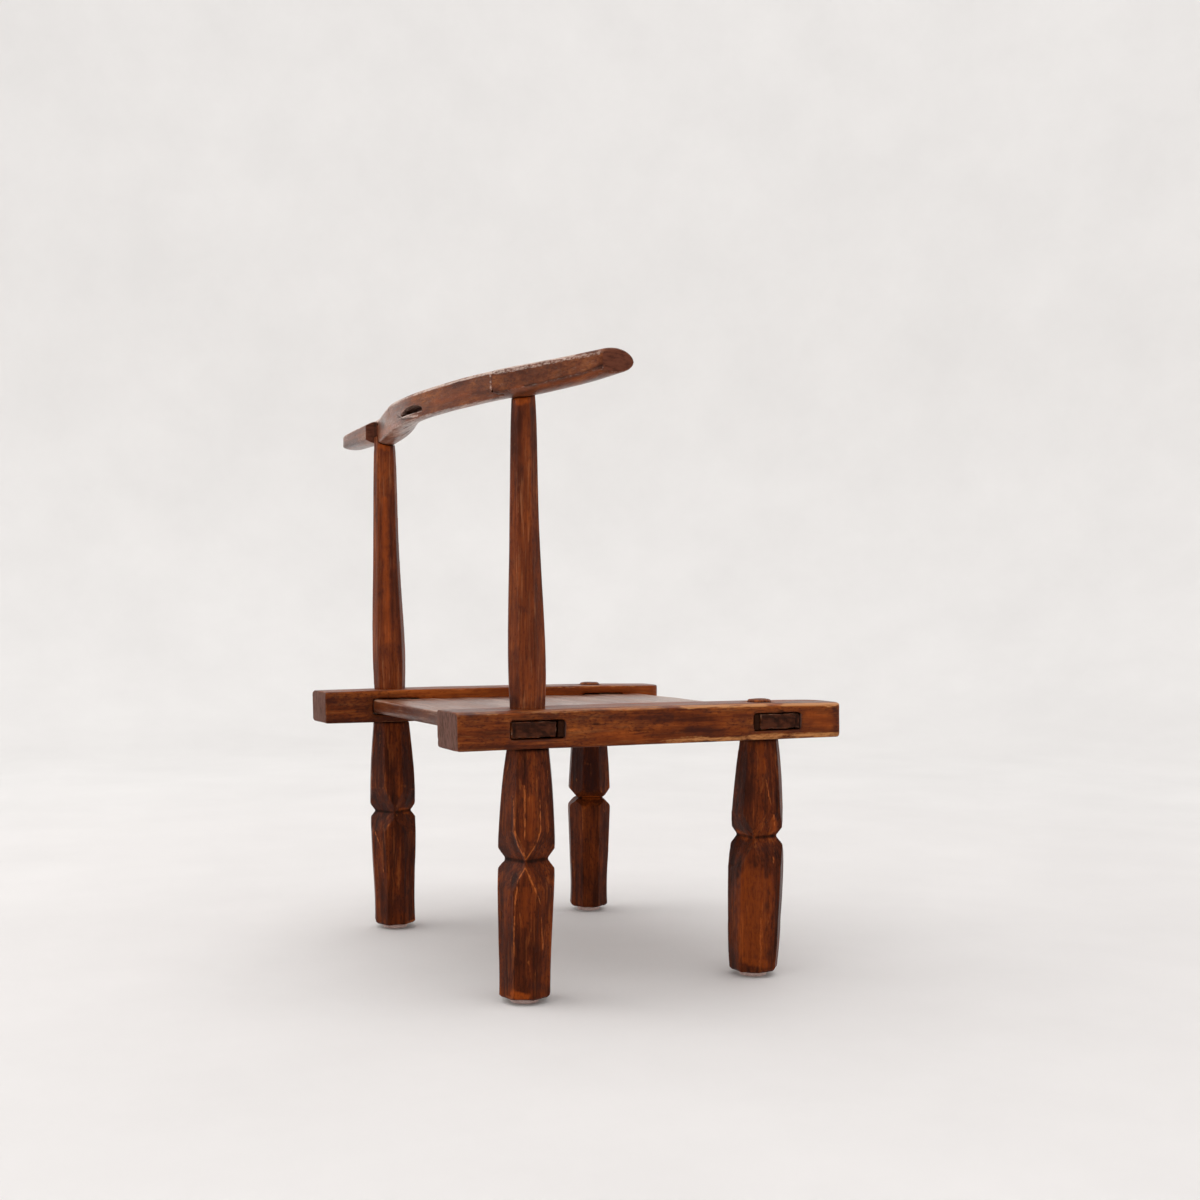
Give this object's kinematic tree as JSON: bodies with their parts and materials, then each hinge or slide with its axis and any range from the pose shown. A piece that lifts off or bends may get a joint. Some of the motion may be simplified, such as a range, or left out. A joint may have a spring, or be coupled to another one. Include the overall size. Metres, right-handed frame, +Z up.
{
  "type": "low wooden chair",
  "caption": "Low hewn-wood birthing chair: a plank seat tenoned through two side rails, notched legs, two posts and a curved crest rail.",
  "frame": {"origin": "on the floor, under the middle of the chair's overall length and width", "axes": "+Z up, front of the seat towards -Y, the sitter's right towards -X"},
  "size_m": [0.6451, 0.4568, 0.6324],
  "materials": {
    "rail_wood": "hand-rubbed, worn",
    "seat_wood": "polished by use",
    "leg_wood": "hewn, oiled",
    "post_wood": "hewn, oiled",
    "crest_wood": "worn smooth",
    "wedge_wood": "dark end grain",
    "glide_pad": "cloudy"
  },
  "bodies": {
    "root": {"right_rail": "rail_wood", "left_rail": "rail_wood", "seat_plank": "seat_wood", "front_right_leg": "leg_wood", "front_left_leg": "leg_wood", "rear_right_leg": "leg_wood", "rear_left_leg": "leg_wood", "right_back_post": "post_wood", "left_back_post": "post_wood", "crest_rail": "crest_wood", "front_right_wedge": "wedge_wood", "front_left_wedge": "wedge_wood", "rear_right_wedge": "wedge_wood", "rear_left_wedge": "wedge_wood", "front_right_glide": "glide_pad", "front_left_glide": "glide_pad", "rear_right_glide": "glide_pad", "rear_left_glide": "glide_pad"}
  },
  "joints": []
}
